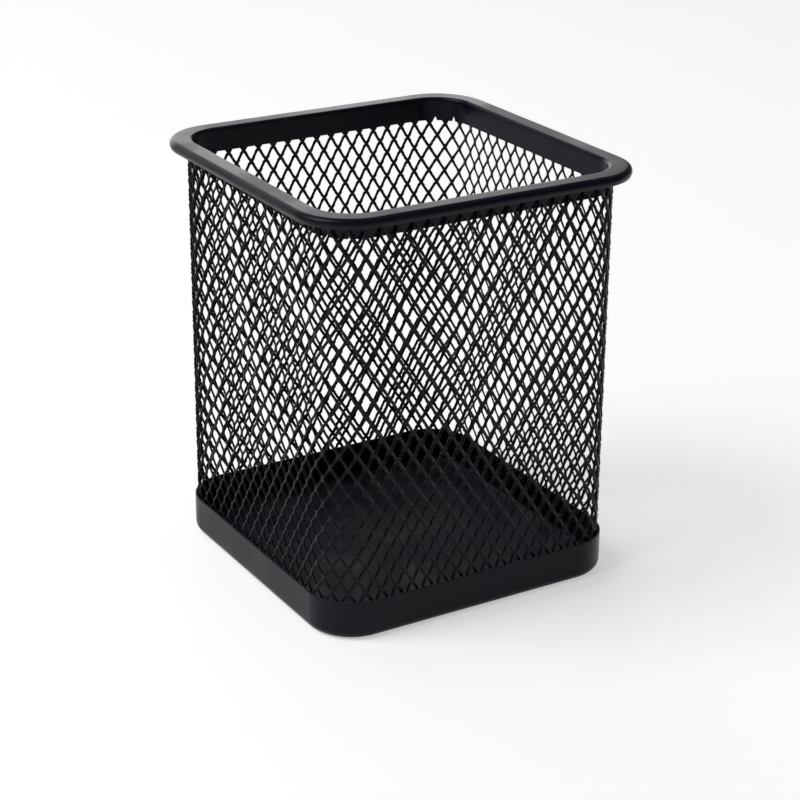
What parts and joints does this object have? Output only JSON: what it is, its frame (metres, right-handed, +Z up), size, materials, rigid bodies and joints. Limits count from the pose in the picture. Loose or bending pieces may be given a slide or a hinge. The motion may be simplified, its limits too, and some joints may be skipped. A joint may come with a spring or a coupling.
{
  "type": "mesh pen holder",
  "caption": "Square desk pen cup of black expanded-steel mesh with rounded corners, a pressed flanged rim at the open top and a shallow pressed base pan.",
  "frame": {"origin": "middle of the underside of the base pan", "axes": "+Z up out of the open mouth, -Y towards the front wall, +X towards the right wall"},
  "size_m": [0.08, 0.08, 0.095],
  "materials": {
    "enamelled_sheet": "semi-gloss black enamel on pressed steel sheet",
    "enamelled_mesh": "semi-gloss black enamel on expanded steel mesh"
  },
  "bodies": {
    "root": {"base_pan": "enamelled_sheet", "top_rim": "enamelled_sheet", "front_mesh": "enamelled_mesh", "right_mesh": "enamelled_mesh", "back_mesh": "enamelled_mesh", "left_mesh": "enamelled_mesh", "front_right_bend": "enamelled_mesh", "back_right_bend": "enamelled_mesh", "back_left_bend": "enamelled_mesh", "front_left_bend": "enamelled_mesh"}
  },
  "joints": []
}
